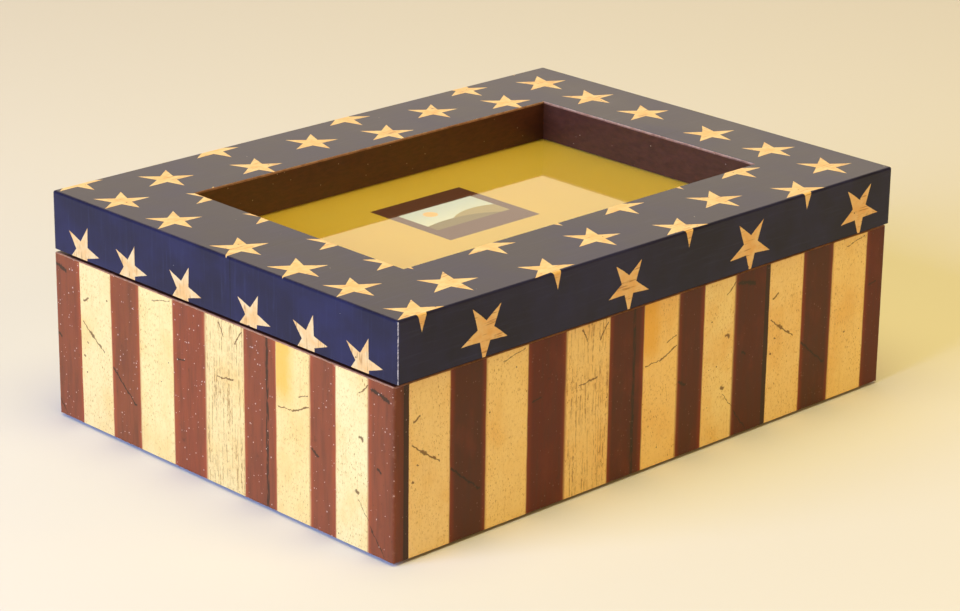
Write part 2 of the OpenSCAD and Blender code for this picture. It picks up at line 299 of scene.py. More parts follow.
walls_low, walls_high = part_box("base_front_wall")
back_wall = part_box("base_back_wall")
walls_high = Vector((walls_high.x, back_wall[1].y, walls_high.z))
wall_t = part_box("base_left_wall")[1].x - walls_low.x
inner_low = walls_low + Vector((wall_t, wall_t, 0))
inner_high = walls_high - Vector((wall_t, wall_t, 0))
wall_profile = [(0, walls_low.z), (wall_t, walls_low.z),
                (wall_t, walls_high.z), (0, walls_high.z)]
for side in SIDES:
    wall = mitred_bar(wall_profile, {3: rim_round, 2: inner_rim_round}, side,
                      walls_low, walls_high, inner_low, inner_high)
    keep(wall, side + "_wall", maroon_paint, "base", "painted_board", "base_" + side + "_wall")


def eased_block(low, high, radius, segments=2):
    """A rectangular block with all its edges eased."""
    block = bmesh.new()
    bmesh.ops.create_cube(block, size=1.0)
    bmesh.ops.scale(block, vec=high - low, verts=block.verts)
    bmesh.ops.translate(block, vec=(low + high) / 2, verts=block.verts)
    bmesh.ops.bevel(block, geom=block.edges[:], offset=radius, offset_type="OFFSET",
                    segments=segments, profile=0.5, affect="EDGES", material=-1)
    return block


board_brown = (0.235, 0.135, 0.065, 1)
board_dark = (0.12, 0.062, 0.028, 1)
board_pale = (0.30, 0.19, 0.10, 1)
floor_round = 0.0003
fibreboard, tree, shader = new_material("bare_fibreboard", 0.8)
place = object_mm(tree)
fibres = grain(tree, place, (2.2, 0.5, 2.2), 5.0, 0.7)
clumps = grain(tree, place, (0.12, 0.12, 0.12), 3.0)
colour = mixed(tree, rise(tree, fibres, 0.3, 0.7), board_dark, board_brown)
colour = glazed(tree, colour, board_pale, clumps, 0.35)
tree.links.new(colour, shader.inputs["Base Color"])
bumped(tree, shader, fibres, 0.12, 0.7)
keep(eased_block(*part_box("base_floor"), floor_round), "floor_panel", fibreboard, "base",
     "bare_board", "base_floor")

# ---------------------------------------------------------------- striped paper of the base
# One long strip of printed paper glued round the four walls and varnished satin. The
# print copies old painted boards: cream and brown stripes with streaks, cracks and knots.

base_low, base_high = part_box("base_stripe_paper")
MM = 0.001
paper_round = 0.0008
strip_start = 5.4
# The left side repeats the print slightly smaller, from just behind the corner
left_squeeze, left_start = 0.974, 0.66
# Widths of the printed stripes in mm, cream and brown in turn; the print then repeats
stripe_widths = (15.2, 13.7, 15.8, 15.0, 17.3, 14.2, 14.5, 11.0, 13.4, 15.4)
stripe_period = sum(stripe_widths)
cream_inks = ((0.88, 0.64, 0.28), (0.89, 0.65, 0.27), (0.86, 0.62, 0.26),
              (0.89, 0.62, 0.24), (0.88, 0.68, 0.31))
brown_inks = ((0.080, 0.020, 0.005), (0.104, 0.017, 0.005), (0.086, 0.018, 0.006),
              (0.088, 0.020, 0.007), (0.083, 0.018, 0.006))
brown_edge_ink = (0.210, 0.030, 0.006)
ink_soft = 0.14
brown_edge_w = 2.0
cream_cloud, cream_mottle = (0.80, 0.45, 0.11, 1), (0.66, 0.37, 0.10, 1)
cream_streak, fleck_ochre = (0.60, 0.33, 0.09, 1), (0.40, 0.18, 0.030, 1)
# Painted light: red added to the brown stripes of the lit left face
left_face_painted_light = (0.160, 0.040, 0.016, 1)
brushed_dark, rust = (0.052, 0.026, 0.014, 1), (0.190, 0.036, 0.014, 1)
pit_dark, blot_dark = (0.030, 0.015, 0.008, 1), (0.030, 0.018, 0.011, 1)
wood_line_ink, amber = (0.30, 0.125, 0.020, 1), (0.80, 0.42, 0.050, 1)
scratch_brown, crack_black = (0.125, 0.048, 0.010, 1), (0.020, 0.016, 0.007, 1)
# The pale pink is for specks of real dust and for painted glints of light on them
dust_and_glint_pink, rubbed_through = (0.75, 0.52, 0.42, 1), (0.45, 0.22, 0.13, 1)
edge_stain, edge_paper = (0.44, 0.21, 0.14, 1), (0.66, 0.42, 0.31, 1)


def strip_place(point, far_half):
    """How far round the strip a point of the base is, in mm, from the front left corner."""
    right, depth = (point.x - base_low.x) / MM, (point.y - base_low.y) / MM
    full_w = (base_high.x - base_low.x) / MM
    if far_half:
        return full_w + depth + (full_w - right)
    if point.x > 0:
        return right + depth
    return right - max(depth - left_start, 0.0) / left_squeeze


paper_top = walls_high.z - rim_round


def paper_side(side):
    """One wall's share of the strip, cut from the whole ring at the corners."""
    ring = bmesh.new()
    bmesh.ops.create_cube(ring, size=1.0)
    low, high = base_low.copy(), base_high.copy()
    high.z = paper_top
    bmesh.ops.scale(ring, vec=high - low, verts=ring.verts)
    bmesh.ops.translate(ring, vec=(low + high) / 2, verts=ring.verts)
    ring.normal_update()
    caps = [face for face in ring.faces if abs(face.normal.z) > 0.5]
    bmesh.ops.delete(ring, geom=caps, context="FACES_ONLY")
    upright_edges = [edge for edge in ring.edges
                     if abs(edge.verts[0].co.z - edge.verts[1].co.z) > 0.01]
    worn_layer = ring.faces.layers.float.new("worn")
    rounded = bmesh.ops.bevel(ring, geom=upright_edges, offset=paper_round, segments=4,
                              offset_type="OFFSET", profile=0.5, affect="EDGES", material=-1)
    for face in rounded["faces"]:
        face[worn_layer] = 1.0
    along, inward = (Vector(part + (0,)) for part in SIDES[side])
    half = (high - low) / 2
    for end in (-1, 1):
        corner = (low + high) / 2 + along * end * abs(half.dot(along))
        corner -= inward * abs(half.dot(inward))
        bmesh.ops.bisect_plane(ring, geom=ring.verts[:] + ring.edges[:] + ring.faces[:],
                               plane_co=corner, plane_no=(along * end + inward).normalized(),
                               clear_outer=True)
    strip = ring.loops.layers.uv.new("strip")
    for face in ring.faces:
        spot = face.calc_center_median()
        far_half = side == "back" or (side == "right" and spot.y > 0)
        for loop in face.loops:
            place = strip_place(loop.vert.co, far_half) - strip_start
            loop[strip].uv = (place * MM, loop.vert.co.z)
    return ring


def stroke(tree, place, start, end, width, thickness):
    """A scratch on the strip from start to end, in mm, swelling with a thickness noise."""
    start, run = Vector(start + (0,)), Vector(end + (0,)) - Vector(start + (0,))
    local = add_node(tree, "VectorMath", {0: place, 1: start}, operation="SUBTRACT").outputs[0]
    share = add_node(tree, "VectorMath", {0: local, 1: run / run.length_squared},
                     operation="DOT_PRODUCT").outputs["Value"]
    share = calc(tree, "MINIMUM", calc(tree, "MAXIMUM", share, 0.0), 1.0)
    onto = add_node(tree, "VectorMath", {0: run, "Scale": share}, operation="SCALE").outputs[0]
    apart = add_node(tree, "VectorMath", {0: local, 1: onto}, operation="DISTANCE").outputs["Value"]
    return rise(tree, calc(tree, "DIVIDE", apart, thickness), width * 0.75, width * 0.3)


def printed_ramp(tree, place, stops):
    """A linear colour ramp over one repeat of the print; stops are (mm, colour)."""
    ramp = add_node(tree, "ValToRGB", {0: place})
    keys = ramp.color_ramp.elements
    while len(keys) < len(stops):
        keys.new(0.5)
    for key, (where, ink) in zip(keys, stops):
        key.position = where / stripe_period
        key.color = (*ink, 1)
    return ramp.outputs[0]


striped_print, tree, shader = new_material("striped_print", 0.34)
strip_uv = add_node(tree, "UVMap", uv_map="strip").outputs[0]
flat = add_node(tree, "VectorMath", {0: strip_uv, "Scale": 1 / MM}, operation="SCALE").outputs[0]
axes = add_node(tree, "SeparateXYZ", {0: flat})
# Painted edges aren't quite straight
waver = calc(tree, "SUBTRACT", grain(tree, flat, (0.3, 0.10, 1), 3.0), 0.5)
wide = calc(tree, "ADD", axes.outputs[0], calc(tree, "MULTIPLY", waver, 0.4))
turns = calc(tree, "FRACT", calc(tree, "DIVIDE", wide, stripe_period))
within_mm = calc(tree, "MULTIPLY", turns, stripe_period)
place = add_node(tree, "CombineXYZ", {0: within_mm, 1: axes.outputs[1]}).outputs[0]

stops, start = [], 0.0
for number, width in enumerate(stripe_widths):
    end = start + width
    pair = number // 2
    if number % 2 == 0:
        stops += [(start + ink_soft, cream_inks[pair]), (end - ink_soft, cream_inks[pair])]
    else:
        stops += [(start + ink_soft, brown_edge_ink), (start + brown_edge_w, brown_inks[pair]),
                  (end - brown_edge_w, brown_inks[pair]), (end - ink_soft, brown_edge_ink)]
    start = end
stripes = printed_ramp(tree, turns, stops)
green_of_print = add_node(tree, "SeparateColor", {0: stripes}).outputs[1]
is_cream = calc(tree, "GREATER_THAN", green_of_print, 0.3)
is_brown = calc(tree, "SUBTRACT", 1.0, is_cream)

# Cream paint: yellowed in clouds, with fine ochre flecks that gather in patches
clouds = grain(tree, flat, (0.07, 0.05, 1), 4.0)
mottle = grain(tree, flat, (0.8, 0.45, 1), 4.0, 0.6)
streaks = grain(tree, flat, (1.7, 0.06, 1), 4.0, 0.6)
flecks = grain(tree, flat, (2.3, 0.9, 1), 4.0, 0.7)
patches = rise(tree, grain(tree, flat, (0.11, 0.07, 1), 3.0), 0.40, 0.62)
cream = glazed(tree, stripes, cream_cloud, rise(tree, clouds, 0.42, 0.75), 0.55)
cream = glazed(tree, cream, cream_mottle, rise(tree, mottle, 0.45, 0.75), 0.22)
cream = glazed(tree, cream, cream_streak, rise(tree, streaks, 0.52, 0.75), 0.34)
fleck_share = calc(tree, "ADD", calc(tree, "MULTIPLY", patches, 0.60), 0.36)
cream = glazed(tree, cream, fleck_ochre, rise(tree, flecks, 0.55, 0.65), fleck_share)
# Brown paint: darker upright brushing and small dark pits, with painted light added as extra red on
# the left face of the box
lit_left_face = rise(tree, axes.outputs[0], 2.0, -10.0)
brown = mixed(tree, lit_left_face, stripes, left_face_painted_light, "ADD")
brushing = grain(tree, flat, (0.55, 0.05, 1), 5.0, 0.65)
brown = glazed(tree, brown, brushed_dark, rise(tree, brushing, 0.40, 0.75), 0.42)
rusty = rise(tree, grain(tree, flat, (0.10, 0.05, 1), 4.0, 0.6), 0.50, 0.72)
brown = glazed(tree, brown, rust, rusty, 0.35)
pits = rise(tree, grain(tree, flat, (1.5, 0.6, 1), 3.0, 0.6), 0.64, 0.74)
brown = glazed(tree, brown, pit_dark, pits, 0.5)
blots = rise(tree, grain(tree, flat, (0.22, 0.16, 1), 5.0, 0.7), 0.62, 0.74)
brown = glazed(tree, brown, blot_dark, blots, 0.4)
colour = mixed(tree, is_cream, brown, cream)

# The fifth stripe is bare streaky wood, the seventh has an amber stain at its top left
grain_from, grain_to = sum(stripe_widths[:4]), sum(stripe_widths[:5])
in_grain = calc(tree, "COMPARE", within_mm, (grain_from + grain_to) / 2,
                (grain_to - grain_from) / 2 - ink_soft)
wood_lines = rise(tree, grain(tree, flat, (2.1, 0.05, 1), 2.0, 0.4), 0.50, 0.60)
dashes = rise(tree, grain(tree, flat, (1.8, 0.45, 1), 3.0, 0.6), 0.42, 0.56)
lined = calc(tree, "MULTIPLY", calc(tree, "MULTIPLY", wood_lines, dashes), in_grain)
colour = glazed(tree, colour, wood_line_ink, lined, 0.66)
stain_at = sum(stripe_widths[:6])
stain_wide = rise(tree, calc(tree, "ADD", within_mm, calc(tree, "MULTIPLY", mottle, 4.0)),
                  stain_at + 11.0, stain_at + 5.5)
stain_high = rise(tree, calc(tree, "ADD", axes.outputs[1], calc(tree, "MULTIPLY", clouds, 6.0)),
                  32.5, 43.5)
stain_side = calc(tree, "GREATER_THAN", within_mm, stain_at + ink_soft)
stain = calc(tree, "MULTIPLY", calc(tree, "MULTIPLY", stain_wide, stain_high), stain_side)
stain = calc(tree, "MULTIPLY", stain, is_cream)
colour = glazed(tree, colour, amber, stain, 0.8)

# Scratches and knots, as (start, end, width) in mm along and up the strip
light_marks = (
    ((1.3, 33.5), (11.3, 26.4), 0.42), ((4.7, 31.2), (5.9, 30.2), 1.15),
    ((9.0, 28.3), (9.5, 27.9), 0.70), ((35.0, 49.0), (43.5, 51.0), 0.22),
    ((66.0, 50.5), (68.0, 47.0), 0.42), ((73.0, 46.0), (76.2, 50.5), 0.42),
    ((65.0, 34.0), (72.0, 35.0), 0.34), ((92.0, 33.0), (98.0, 33.4), 0.34),
    ((98.0, 33.2), (105.2, 36.2), 0.40), ((101.0, 38.0), (105.0, 39.5), 0.30),
    ((126.5, 46.5), (130.2, 49.5), 0.34), ((126.0, 15.5), (130.5, 10.5), 0.22),
    ((126.6, 33.9), (127.7, 33.3), 0.95), ((125.5, 17.6), (126.0, 17.3), 1.05),
    ((2.0, 40.5), (4.0, 41.5), 0.60), ((1.5, 23.0), (1.7, 22.8), 0.85),
    ((3.0, 27.5), (3.2, 27.3), 0.60),
)
dark_marks = (
    ((15.6, 23.0), (26.4, 14.0), 0.55), ((132.0, 49.0), (138.5, 47.5), 1.1),
    ((106.5, 24.5), (109.0, 23.0), 0.7), ((134.5, 26.5), (135.2, 26.0), 0.9),
    ((131.0, 9.0), (137.0, 1.5), 0.35), ((46.5, 34.0), (50.0, 34.8), 0.45),
)
jitter = add_node(tree, "TexNoise", {"Vector": place, "Scale": 0.5, "Detail": 3.0})
jitter = add_node(tree, "VectorMath", {0: jitter.outputs["Color"], 1: (0.5, 0.5, 0.5)},
                  operation="SUBTRACT").outputs[0]
jitter = add_node(tree, "VectorMath", {0: jitter, "Scale": 1.6}, operation="SCALE").outputs[0]
shaken = add_node(tree, "VectorMath", {0: place, 1: jitter}, operation="ADD").outputs[0]
shaken = add_node(tree, "VectorMath", {0: shaken, 1: (1, 1, 0)}, operation="MULTIPLY").outputs[0]
swelling = grain(tree, place, (1.1, 1.1, 1), 2.0)
swelling = calc(tree, "ADD", calc(tree, "MULTIPLY", swelling, 2.4), -0.2)


def strokes(marks):
    """All the strokes of a list, laid together."""
    total = 0.0
    for begin, finish, width in marks:
        total = calc(tree, "MAXIMUM", total, stroke(tree, shaken, begin, finish, width, swelling))
    return total


spots = specks(tree, flat, 3.6, 0.34, 0.40)
marks = calc(tree, "MAXIMUM", strokes(light_marks), calc(tree, "MULTIPLY", spots, is_cream))
colour = glazed(tree, colour, scratch_brown, marks, 0.85)
scratches = strokes(dark_marks)
# A long crack in the sixth stripe and a dark painted edge on the last one
crack_at = sum(stripe_widths[:5]) + 0.72 * stripe_widths[5]
crack_drift = calc(tree, "SUBTRACT", grain(tree, flat, (0.05, 0.12, 1)), 0.5)
crack_drift = calc(tree, "MULTIPLY", crack_drift, 1.6)
off_crack = calc(tree, "SUBTRACT", calc(tree, "ADD", within_mm, crack_drift), crack_at)
crack = rise(tree, calc(tree, "ABSOLUTE", off_crack), 0.8, 0.35)
crack = calc(tree, "MULTIPLY", crack, rise(tree, grain(tree, flat, (2.0, 0.25, 1)), 0.36, 0.5))
edge_band = calc(tree, "MULTIPLY", calc(tree, "COMPARE", within_mm, stripe_period - 1.0, 0.95),
                 calc(tree, "GREATER_THAN", axes.outputs[0], -stripe_period + 20.0))
dark = calc(tree, "MAXIMUM", calc(tree, "MAXIMUM", scratches, crack), edge_band)
colour = glazed(tree, colour, crack_black, dark, 0.82)
# Dust specks on the brown stripes, laid far more strongly on the left face as painted glints of
# light
dust = calc(tree, "MULTIPLY", specks(tree, flat, 1.1, 0.25, 0.55), is_brown)
dust_and_glint_share = calc(tree, "ADD", calc(tree, "MULTIPLY", lit_left_face, 0.60), 0.10)
colour = glazed(tree, colour, dust_and_glint_pink, dust, dust_and_glint_share)
# Handling has rubbed the print a little along the corners
rubbed = add_node(tree, "Attribute", attribute_name="worn").outputs["Fac"]
chipped = rise(tree, grain(tree, flat, (0.6, 0.35, 1), 5.0, 0.7), 0.50, 0.66)
colour = glazed(tree, colour, rubbed_through, rubbed, calc(tree, "MULTIPLY", chipped, 0.22))
tree.links.new(colour, shader.inputs["Base Color"])
sheen = add_node(tree, "MapRange", {"Value": mottle, "To Min": 0.30, "To Max": 0.46})
tree.links.new(sheen.outputs[0], shader.inputs["Roughness"])
shader.inputs["Specular IOR Level"].default_value = 0.25
relief = calc(tree, "MULTIPLY", streaks, 0.5)
relief = calc(tree, "SUBTRACT", relief, calc(tree, "MULTIPLY", marks, 0.6))
relief = calc(tree, "ADD", relief, calc(tree, "MULTIPLY", brushing, 0.3))
bumped(tree, shader, relief, 0.05, 0.45)

# The cut edge of the paper, stained by the size under it
cut_paper, tree, shader = new_material("cut_paper_edge", 0.8)
frayed = grain(tree, object_mm(tree), (0.5, 0.5, 0.5), 4.0)
colour = mixed(tree, rise(tree, frayed, 0.3, 0.7), edge_stain, edge_paper)
tree.links.new(colour, shader.inputs["Base Color"])


def thicken(piece, thickness):
    """Give a sheet its thickness inward, with the cut edge in the piece's second material."""
    solid = piece.modifiers.new("thickness", "SOLIDIFY")
    solid.thickness = thickness
    solid.offset = -1.0
    solid.use_even_offset = True
    solid.material_offset_rim = 1


paper_t = walls_low.x - base_low.x
for side in SIDES:
    sheet = keep(paper_side(side), side + "_striped_paper", striped_print, "base",
                 "striped_paper", "base_stripe_paper")
    sheet.data.materials.append(cut_paper)
    thicken(sheet, paper_t)

# ---------------------------------------------------------------- felt inside and underneath
# Black napped felt: a lining glued to the floor of the base, and a panel under the box
# that keeps it from scratching a shelf.

felt_black, felt_worn = (0.012, 0.010, 0.011, 1), (0.055, 0.047, 0.048, 1)
tuft_grey, lint_grey = (0.075, 0.065, 0.064, 1), (0.30, 0.27, 0.24, 1)
lining_round, pad_round = 0.0003, 0.00035
black_felt, tree, shader = new_material("black_felt", 0.95)
place = object_mm(tree)
nap = grain(tree, place, (2.6, 2.6, 2.6), 4.0, 0.7)
tufts = grain(tree, place, (0.22, 0.22, 0.22), 3.0)
colour = mixed(tree, rise(tree, nap, 0.3, 0.75), felt_black, felt_worn)
colour = glazed(tree, colour, tuft_grey, tufts, 0.3)
lint = specks(tree, place, 6.0, 0.3, 0.35)
colour = mixed(tree, lint, colour, lint_grey)
tree.links.new(colour, shader.inputs["Base Color"])
shader.inputs["Sheen Weight"].default_value = 0.35
shader.inputs["Sheen Roughness"].default_value = 0.6
shader.inputs["Specular IOR Level"].default_value = 0.1
bumped(tree, shader, nap, 0.25, 0.9)


def felt_pad(name, node, radius):
    """A felt sheet with a soft cut edge, glued flat to the floor panel."""
    low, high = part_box(node)
    pad = keep(eased_block(low, high, radius), name, black_felt, "base", "felt", node)


felt_pad("floor_lining_felt", "floor_lining", lining_round)
felt_pad("underside_felt_pad", "underside_felt", pad_round)

# ---------------------------------------------------------------- bumpers
# Two self-adhesive buttons of grey rubber on the rim of the front wall. They carry the
# front of the closed lid and keep its paper from sticking to the base.

rubber_dark, rubber_bloom = (0.10, 0.095, 0.09, 1), (0.22, 0.21, 0.20, 1)
grey_rubber, tree, shader = new_material("grey_rubber", 0.75)
place = object_mm(tree)
bloom = grain(tree, place, (0.8, 0.8, 0.8), 4.0)
colour = mixed(tree, bloom, rubber_dark, rubber_bloom)
tree.links.new(colour, shader.inputs["Base Color"])
bumped(tree, shader, grain(tree, place, (5.0, 5.0, 5.0), 2.0), 0.03, 0.4)


def turned(outline, centre, steps=48):
    """A turned piece: an outline of (radius, height) points spun about an upright axis.
    The first and last points lie on the axis."""
    lathe = bmesh.new()
    ring = [lathe.verts.new((centre.x + radius, centre.y, centre.z + up)) for radius, up in outline]
    edges = [lathe.edges.new(pair) for pair in zip(ring, ring[1:])]
    bmesh.ops.spin(lathe, geom=ring + edges, cent=centre, axis=(0, 0, 1), dvec=(0, 0, 0),
                   angle=2 * math.pi, steps=steps, use_merge=True)
    bmesh.ops.remove_doubles(lathe, verts=lathe.verts, dist=1e-7)
    bmesh.ops.recalc_face_normals(lathe, faces=lathe.faces[:])
    return lathe


def merge_into(target, source):
    """Add one bmesh to another."""
    carrier = bpy.data.meshes.new("carrier")
    source.to_mesh(carrier)
    source.free()
    target.from_mesh(carrier)
    bpy.data.meshes.remove(carrier)


bumpers_low, bumpers_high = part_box("lid_bumpers")
bumper_h = bumpers_high.z - bumpers_low.z
bumper_r = (bumpers_high.y - bumpers_low.y) / 2
bumpers = bmesh.new()
bumper_outline = [(0, 0), (bumper_r, 0), (bumper_r, bumper_h * 0.55),
                  (bumper_r * 0.93, bumper_h * 0.85), (bumper_r * 0.8, bumper_h), (0, bumper_h)]
for spot_x in (bumpers_low.x + bumper_r, bumpers_high.x - bumper_r):
    spot = Vector((spot_x, bumpers_low.y + bumper_r, bumpers_low.z))
    merge_into(bumpers, turned(bumper_outline, spot))
keep(bumpers, "rubber_bumpers", grey_rubber, "base", "bumper", "lid_bumpers")

# ---------------------------------------------------------------- hinges
# Two stamped brass butt hinges. Their leaves lie in the gap between base and lid, and
# half-moon ears at the ends of the barrel stop the lid just past upright.

brass_dull, brass_bright = (0.62, 0.40, 0.15, 1), (0.86, 0.64, 0.30, 1)
tarnish_brown = (0.20, 0.11, 0.05, 1)
hinge_brass, tree, shader = new_material("stamped_brass", 0.3)
place = object_mm(tree)
smear = grain(tree, place, (0.35, 0.35, 0.35), 5.0, 0.6)
rolled = grain(tree, place, (0.4, 6.0, 6.0), 2.0)
spot_tarnish = rise(tree, grain(tree, place, (1.1, 1.1, 1.1), 5.0, 0.7), 0.55, 0.72)
colour = mixed(tree, rise(tree, smear, 0.35, 0.7), brass_dull, brass_bright)
colour = glazed(tree, colour, tarnish_brown, spot_tarnish, 0.6)
tree.links.new(colour, shader.inputs["Base Color"])
shader.inputs["Metallic"].default_value = 1.0
polish = add_node(tree, "MapRange", {"Value": smear, "To Min": 0.2, "To Max": 0.42})
gloss = calc(tree, "ADD", polish.outputs[0], calc(tree, "MULTIPLY", spot_tarnish, 0.25))
tree.links.new(gloss, shader.inputs["Roughness"])
bumped(tree, shader, rolled, 0.02, 0.35)


def finish_node(name, material):
    """Give a carried-over CAD node its material."""
    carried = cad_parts[name]
    carried.data.materials.clear()
    carried.data.materials.append(material)


for hand in ("left", "right"):
    for part in ("base_leaf", "lid_leaf", "pin"):
        finish_node("hinge_" + hand + "_" + part, hinge_brass)


def slotted_screw(head_r, head_h, shank_r, length, centre, down, countersunk):
    """A slotted wood screw with its head's flat at centre; down is -1 where the shank
    points to -Z and 1 where it points to +Z."""
    slot_w, slot_depth = head_r * 0.26, head_h * 0.5
    flat_r = head_r if countersunk else head_r * 0.78
    lathe = bmesh.new()
    bmesh.ops.create_circle(lathe, cap_ends=True, segments=32, radius=flat_r)
    for offset in (-slot_w / 2, slot_w / 2):
        bmesh.ops.bisect_plane(lathe, geom=lathe.verts[:] + lathe.edges[:] + lathe.faces[:],
                               plane_co=(0, offset, 0), plane_no=(0, 1, 0))
    rim = [edge for edge in lathe.edges if edge.is_boundary]
    top_faces = lathe.faces[:]
    lathe.normal_update()
    groove = [face for face in top_faces if abs(face.calc_center_median().y) < slot_w / 4]
    if countersunk:
        rings = ((head_r, -head_h * 0.12), (shank_r, -head_h))
    else:
        rings = ((head_r, -head_h * 0.45), (head_r, -head_h), (shank_r, -head_h))
    rings += ((shank_r, -length), (shank_r * 0.15, -length - shank_r))
    current, width, level = rim, flat_r, 0.0
    for radius, height in rings:
        grown = bmesh.ops.extrude_edge_only(lathe, edges=current)
        fresh = [part for part in grown["geom"] if isinstance(part, bmesh.types.BMVert)]
        bmesh.ops.scale(lathe, vec=(radius / width, radius / width, 1), verts=fresh)
        bmesh.ops.translate(lathe, vec=(0, 0, height - level), verts=fresh)
        current = [part for part in grown["geom"] if isinstance(part, bmesh.types.BMEdge)
                   and part.is_boundary]
        width, level = radius, height
    bmesh.ops.contextual_create(lathe, geom=current)
    sunk = bmesh.ops.extrude_face_region(lathe, geom=groove)
    bmesh.ops.delete(lathe, geom=groove, context="FACES")
    deep = [part for part in sunk["geom"] if isinstance(part, bmesh.types.BMVert)]
    bmesh.ops.translate(lathe, vec=(0, 0, -slot_depth), verts=deep)
    if down > 0:
        bmesh.ops.rotate(lathe, matrix=Matrix.Rotation(math.pi, 3, "X"), verts=lathe.verts)
    bmesh.ops.rotate(lathe, matrix=Matrix.Rotation(centre.x * 70, 3, "Z"), verts=lathe.verts)
    bmesh.ops.translate(lathe, vec=centre, verts=lathe.verts)
    bmesh.ops.recalc_face_normals(lathe, faces=lathe.faces[:])
    return lathe


hinge_screw_r, hinge_screw_head_r, hinge_screw_length = 0.0007, 0.0014, 0.009
for body, down in (("base", -1), ("lid", 1)):
    node = "hinge_" + body + "_screws"
    low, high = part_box(node)
    screws = bmesh.new()
    leaf_low, leaf_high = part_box("hinge_right_" + body + "_leaf")
    leaf_x = (leaf_low.x + leaf_high.x) / 2
    outer_x = high.x - hinge_screw_head_r
    flat_z = high.z if down < 0 else low.z
    for hinge_side in (-1, 1):
        for screw_x in (outer_x, 2 * leaf_x - outer_x):
            head = Vector((hinge_side * screw_x, (low.y + high.y) / 2, flat_z))
            merge_into(screws, slotted_screw(hinge_screw_head_r, hinge_screw_head_r - hinge_screw_r,
                                             hinge_screw_r, hinge_screw_length, head, down, True))
    keep(screws, "hinge_screws_in_" + body, hinge_brass, body, "brass", node)

# ---------------------------------------------------------------- rails of the lid
# Four deep rails of fibreboard, mitred and glued, with a rebate behind the window for
# glass, card and board. The sight walls of the recess are painted like the base.

window_round = 0.0004
glass_gap = 0.0002
glass_low, glass_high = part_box("glass_pane")
lip_low = glass_high.z
rails_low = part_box("lid_left_rail")[0]
rails_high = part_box("lid_right_rail")[1]
window_low = Vector((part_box("lid_left_rail")[1].x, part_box("lid_front_rail")[1].y, 0))
window_high = Vector((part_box("lid_right_rail")[0].x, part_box("lid_back_rail")[0].y, 0))


def rail_profile(rail_w, rebate_w):
    """Corners of a rail's section, inward and up, with the rebate at the lower inner corner."""
    return [(0, rails_low.z), (rebate_w, rails_low.z), (rebate_w, lip_low),
            (rail_w, lip_low), (rail_w, rails_high.z), (0, rails_high.z)]


for side in SIDES:
    inward = Vector(SIDES[side][1] + (0,))
    rail_w = abs((window_low - rails_low).dot(inward))
    rebate_w = abs((glass_low - rails_low).dot(inward)) - glass_gap
    rounds = {4: window_round, 1: window_round, 0: window_round}
    rail = mitred_bar(rail_profile(rail_w, rebate_w), rounds, side,
                      rails_low, rails_high, window_low, window_high)
    keep(rail, "lid_" + side + "_rail_board", maroon_paint, "lid", "painted_board",
         "lid_" + side + "_rail")

# ---------------------------------------------------------------- starred paper of the lid
# One sheet printed with cream stars on dark navy, laid over the top of the frame and
# folded down its four edges. The stars follow the flat sheet, so some cross a fold.

fold_round = 0.0007
# Columns of stars: mm from the left edge of the top, then mm from its back edge for each
# star. Places beyond the edges hang on the side faces of the lid.
star_columns = (
    (-15.3, (-10.5, 13.7, 36.3, 61.0, 90.8, 114.8, 136.7, 161.0)),
    (8.9, (-0.5, 21.6, 46.0, 76.8, 101.4, 122.8, 147.2)),
    (31.9, (-10.5, 13.5, 36.0, 61.5, 91.2, 114.2, 137.2, 161.6)),
    (59.9, (1.0, 22.2, 45.5, 76.4, 100.6, 121.8, 147.3)),
    (88.1, (-9.5, 14.1, 36.6, 60.8, 90.4, 114.3, 136.6, 161.7)),
    (113.1, (2.0, 22.5, 45.5, 76.4, 100.6, 121.9, 147.1)),
    (139.7, (-8.5, 14.6, 36.6, 60.8, 90.4, 114.2, 136.7, 161.5)),
    (164.7, (3.0, 22.7, 45.5, 76.4, 100.6, 121.4, 147.1)),
    (189.2, (-7.5, 14.4, 36.4, 60.8, 90.4, 114.3, 136.6, 161.4)),
    (214.4, (0.0, 21.8, 45.5, 76.4, 100.6, 122.3, 146.3)),
)
# A few stars stand a little to the right of their column, or to its left
moved_aside = {(8.9, 76.8): -1.3, (8.9, 101.4): -1.0, (31.9, 61.5): 0.8, (31.9, 91.2): -0.8,
               (31.9, 114.2): -0.8, (31.9, 137.2): -1.0, (59.9, 147.3): -0.7,
               (88.1, 14.1): 0.7, (88.1, 136.6): -0.8, (189.2, 90.4): -1.3}
star_tip_mm, star_notch_mm = 8.8, 3.15
star_turn, star_swell = 0.05, 0.03
front_star_size, side_star_size = 1.01, 0.91


def fold_side(face):
    """Which edge of the lid a face hangs over, as a (x, y) sign pair; (0, 0) on top."""
    normal = face.normal
    if normal.z > 0.999:
        return 0, 0
    if abs(normal.x) > abs(normal.y):
        return math.copysign(1, normal.x), 0
    return 0, math.copysign(1, normal.y)


def sheet_place(point, fold):
    """Where a point of the folded sheet lies on the flat one: mm right and mm down."""
    drop = (lid_high.z - point.z) / MM
    right = (point.x - lid_low.x) / MM + drop * fold[0]
    down = (lid_high.y - point.y) / MM - drop * fold[1]
    return right, down


def nearest(values, place):
    """The value closest to a place."""
    return min(values, key=lambda value: abs(value - place))


